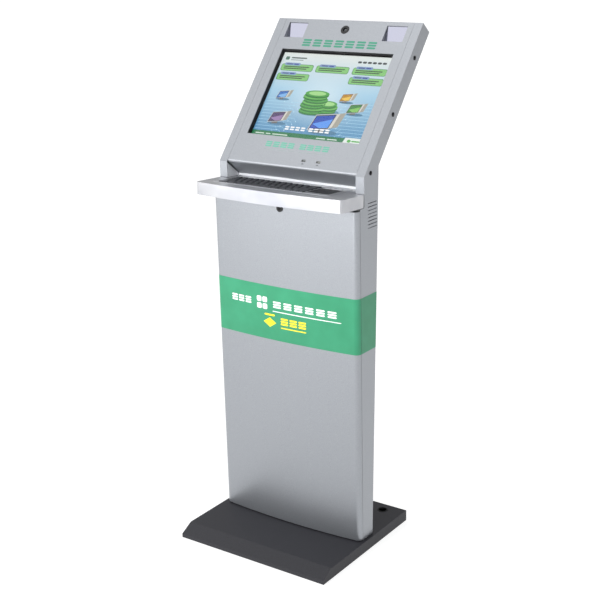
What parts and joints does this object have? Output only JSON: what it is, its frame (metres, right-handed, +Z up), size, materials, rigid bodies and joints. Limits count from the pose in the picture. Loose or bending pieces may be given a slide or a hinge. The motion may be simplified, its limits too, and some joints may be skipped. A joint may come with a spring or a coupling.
{
  "type": "self-service banking kiosk",
  "caption": "Slim floor-standing self-service banking kiosk with a leaning touch screen head, metal keyboard tray, bowed hinged front and weighted base.",
  "frame": {"origin": "on the floor under the middle of the base cover", "axes": "+Z up, -Y towards the user, +X to the right of the screen as the user sees it"},
  "size_m": [0.5, 0.5732, 1.4458],
  "materials": {
    "silver_paint": "satin",
    "charcoal_paint": "fine texture",
    "black_steel": "matt",
    "black_screws": "satin",
    "zinc_steel": "zinc plated",
    "stainless": "brushed",
    "rubber_black": "matt",
    "foam_black": "matt",
    "plastic_black": "matt",
    "plastic_grey": "matt",
    "plastic_red": "gloss",
    "board_green": "gloss",
    "green_vinyl": "gloss",
    "clear_glass": "polished",
    "lens_glass": "polished",
    "mirror": "polished",
    "screen": "gloss"
  },
  "bodies": {
    "kiosk": {"base_plate": "black_steel", "base_cover": "charcoal_paint", "floor_pads": "rubber_black", "anchor_grommets": "plastic_black", "frame_left_upright": "zinc_steel", "frame_right_upright": "zinc_steel", "frame_crossbars": "zinc_steel", "tray_arms": "zinc_steel", "equipment_plate": "zinc_steel", "side_plate_left": "silver_paint", "side_plate_right": "silver_paint", "side_screws": "black_screws", "rear_panel": "silver_paint", "rear_screws": "zinc_steel", "head_fascia": "silver_paint", "head_rear_cover": "silver_paint", "recess_liner": "silver_paint", "lcd_gasket": "foam_black", "touch_glass": "clear_glass", "lcd_panel": "screen", "lcd_rail_left": "zinc_steel", "lcd_rail_right": "zinc_steel", "lcd_driver_board": "board_green", "webcam_housing": "plastic_black", "webcam_lens": "lens_glass", "mirror_pockets": "silver_paint", "mirror_left": "mirror", "mirror_right": "mirror", "usb_socket_left": "zinc_steel", "usb_socket_right": "zinc_steel", "tray_shell": "silver_paint", "tray_bottom": "silver_paint", "keyboard_plate": "stainless", "keyboard_tub": "zinc_steel", "touchpad_bezel": "plastic_black", "touchpad": "plastic_black", "band_sides": "green_vinyl", "lock_keeper": "zinc_steel", "door_pivots": "zinc_steel", "pc_case": "charcoal_paint", "pc_mainboard": "board_green", "fan_frame": "plastic_black", "speakers": "silver_paint", "power_strip": "plastic_grey", "mains_inlet": "plastic_black"},
    "front_door": {"pedestal_door": "silver_paint", "band_front": "green_vinyl", "lock_barrel": "plastic_black"},
    "door_lock": {"lock_cylinder": "black_screws"},
    "fan_wheel": {"fan_rotor": "plastic_black"},
    "mains_rocker": {"rocker_switch": "plastic_red"},
    "number_keys": {"keys_number_row": "stainless"},
    "upper_keys": {"keys_upper_row": "stainless"},
    "home_keys": {"keys_home_row": "stainless"},
    "lower_keys": {"keys_lower_row": "stainless"},
    "bottom_keys": {"keys_bottom_row": "stainless"},
    "space_key": {"space_bar": "stainless"},
    "pointer_left_key": {"pointer_button_left": "stainless"},
    "pointer_middle_key": {"pointer_button_middle": "stainless"},
    "pointer_right_key": {"pointer_button_right": "stainless"}
  },
  "joints": [
    {"name": "door_hinge", "type": "hinge", "parent": "kiosk", "child": "front_door", "pos_m": [-0.237, -0.00842, 0.51], "axis": [0, 0, -1], "range_deg": [0, 105]},
    {"name": "lock_turn", "type": "hinge", "parent": "front_door", "child": "door_lock", "pos_m": [0, -0.02, 0.977], "axis": [0, -1, 0], "range_deg": [0, 90]},
    {"name": "fan_spin", "type": "hinge", "parent": "kiosk", "child": "fan_wheel", "pos_m": [0, 0.06177, 0.79997], "axis": [0, 0.9992, -0.0395], "continuous": true},
    {"name": "mains_rock", "type": "hinge", "parent": "kiosk", "child": "mains_rocker", "pos_m": [0.119, 0.04904, 0.10994], "axis": [-1, 0, 0], "range_deg": [0, 14]},
    {"name": "number_press", "type": "slide", "parent": "kiosk", "child": "number_keys", "axis": [0, -0.0523, -0.9986], "range_m": [0, 0.0025], "stiffness_N_per_m": 400, "springref_m": -0.009},
    {"name": "upper_press", "type": "slide", "parent": "kiosk", "child": "upper_keys", "axis": [0, -0.0523, -0.9986], "range_m": [0, 0.0025], "stiffness_N_per_m": 400, "springref_m": -0.009},
    {"name": "home_press", "type": "slide", "parent": "kiosk", "child": "home_keys", "axis": [0, -0.0523, -0.9986], "range_m": [0, 0.0025], "stiffness_N_per_m": 400, "springref_m": -0.009},
    {"name": "lower_press", "type": "slide", "parent": "kiosk", "child": "lower_keys", "axis": [0, -0.0523, -0.9986], "range_m": [0, 0.0025], "stiffness_N_per_m": 400, "springref_m": -0.009},
    {"name": "bottom_press", "type": "slide", "parent": "kiosk", "child": "bottom_keys", "axis": [0, -0.0523, -0.9986], "range_m": [0, 0.0025], "stiffness_N_per_m": 400, "springref_m": -0.009},
    {"name": "space_press", "type": "slide", "parent": "kiosk", "child": "space_key", "axis": [0, -0.0523, -0.9986], "range_m": [0, 0.0025], "stiffness_N_per_m": 400, "springref_m": -0.009},
    {"name": "pointer_left_press", "type": "slide", "parent": "kiosk", "child": "pointer_left_key", "axis": [0, -0.0523, -0.9986], "range_m": [0, 0.0012], "stiffness_N_per_m": 150, "springref_m": -0.006},
    {"name": "pointer_middle_press", "type": "slide", "parent": "kiosk", "child": "pointer_middle_key", "axis": [0, -0.0523, -0.9986], "range_m": [0, 0.0012], "stiffness_N_per_m": 150, "springref_m": -0.006},
    {"name": "pointer_right_press", "type": "slide", "parent": "kiosk", "child": "pointer_right_key", "axis": [0, -0.0523, -0.9986], "range_m": [0, 0.0012], "stiffness_N_per_m": 150, "springref_m": -0.006}
  ]
}
